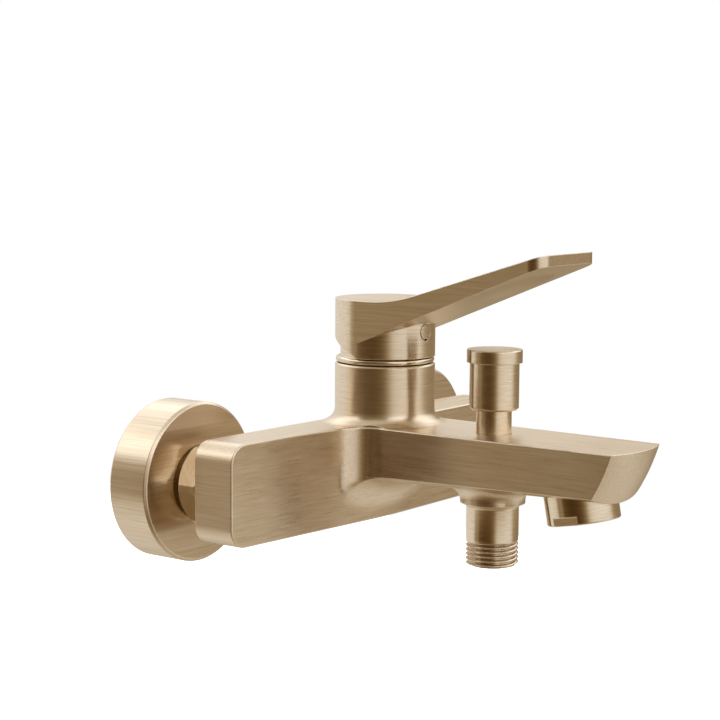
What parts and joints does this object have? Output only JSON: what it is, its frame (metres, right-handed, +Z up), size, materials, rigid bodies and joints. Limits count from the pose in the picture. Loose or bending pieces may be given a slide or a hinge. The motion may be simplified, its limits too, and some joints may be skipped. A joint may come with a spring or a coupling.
{
  "type": "wall mounted bath faucet",
  "caption": "Wall mounted bath mixer tap with a lever handle, a pull-up diverter, a broad spout and a threaded shower hose outlet.",
  "frame": {"origin": "on the finished wall, midway between the two threaded wall pipes", "axes": "+Z up, X along the bar, the spout points out of the wall along -Y"},
  "size_m": [0.2134, 0.1938, 0.1257],
  "materials": {
    "brushed_gold": "brushed champagne gold",
    "connector_brass": "turned, satin",
    "brass": "machined",
    "rubber": "matte",
    "ceramic": "lapped",
    "plastic": "moulded",
    "steel": "stainless"
  },
  "bodies": {
    "tap": {"aerator_housing": "brushed_gold", "aerator_insert": "plastic", "aerator_screen": "steel", "aerator_seal": "rubber", "body": "brushed_gold", "cartridge_base": "plastic", "cartridge_housing": "plastic", "cartridge_nut": "brass", "check_valve_cage": "plastic", "disc_gasket": "rubber", "diverter_bonnet": "brushed_gold", "diverter_seals": "rubber", "eccentric_connector_left": "connector_brass", "eccentric_connector_right": "connector_brass", "escutcheon_left": "brushed_gold", "escutcheon_right": "brushed_gold", "fixed_disc": "ceramic", "gland_bush": "plastic", "hose_nipple": "brushed_gold", "inlet_gasket_left": "rubber", "inlet_gasket_right": "rubber", "inlet_tail_left": "brass", "inlet_tail_right": "brass", "nipple_seal": "rubber", "nut_retainer_left": "steel", "nut_retainer_right": "steel", "port_seals": "rubber", "trim_ring": "brushed_gold", "union_nut_left": "brushed_gold", "union_nut_right": "brushed_gold", "upper_seat": "brass"},
    "turner": {"stem_yoke": "plastic", "pivot_pin": "steel"},
    "lever": {"handle": "brushed_gold", "handle_plug": "brushed_gold", "handle_screw": "steel", "cartridge_stem": "brass"},
    "disc": {"moving_disc": "ceramic", "disc_carrier": "plastic"},
    "puller": {"diverter_knob": "brushed_gold", "diverter_rod": "brass", "diverter_valve": "rubber", "diverter_spring": "steel"},
    "flap": {"check_valve_poppet": "plastic", "check_valve_spring": "steel"}
  },
  "joints": [
    {"name": "handle_turn", "type": "hinge", "parent": "tap", "child": "turner", "pos_m": [0, -0.0529, 0.058], "axis": [0, 0, 1], "range_deg": [-45, 45]},
    {"name": "handle_lift", "type": "hinge", "parent": "turner", "child": "lever", "pos_m": [0, -0.0529, 0.058], "axis": [-1, 0, 0], "range_deg": [0, 24]},
    {"name": "disc_shift", "type": "slide", "parent": "turner", "child": "disc", "axis": [0, -1, 0], "range_m": [0, 0.0048]},
    {"name": "diverter_pull", "type": "slide", "parent": "tap", "child": "puller", "axis": [0, 0, 1], "range_m": [0, 0.009], "stiffness_N_per_m": 30, "springref_m": -0.02, "deforming": ["diverter_spring"]},
    {"name": "check_valve_open", "type": "slide", "parent": "tap", "child": "flap", "axis": [0, 0, -1], "range_m": [0, 0.0025], "stiffness_N_per_m": 40, "springref_m": -0.002, "deforming": ["check_valve_spring"]}
  ],
  "couplings": [
    {"joint": "disc_shift", "follows": "handle_lift", "m_per_rad": 0.01141}
  ]
}
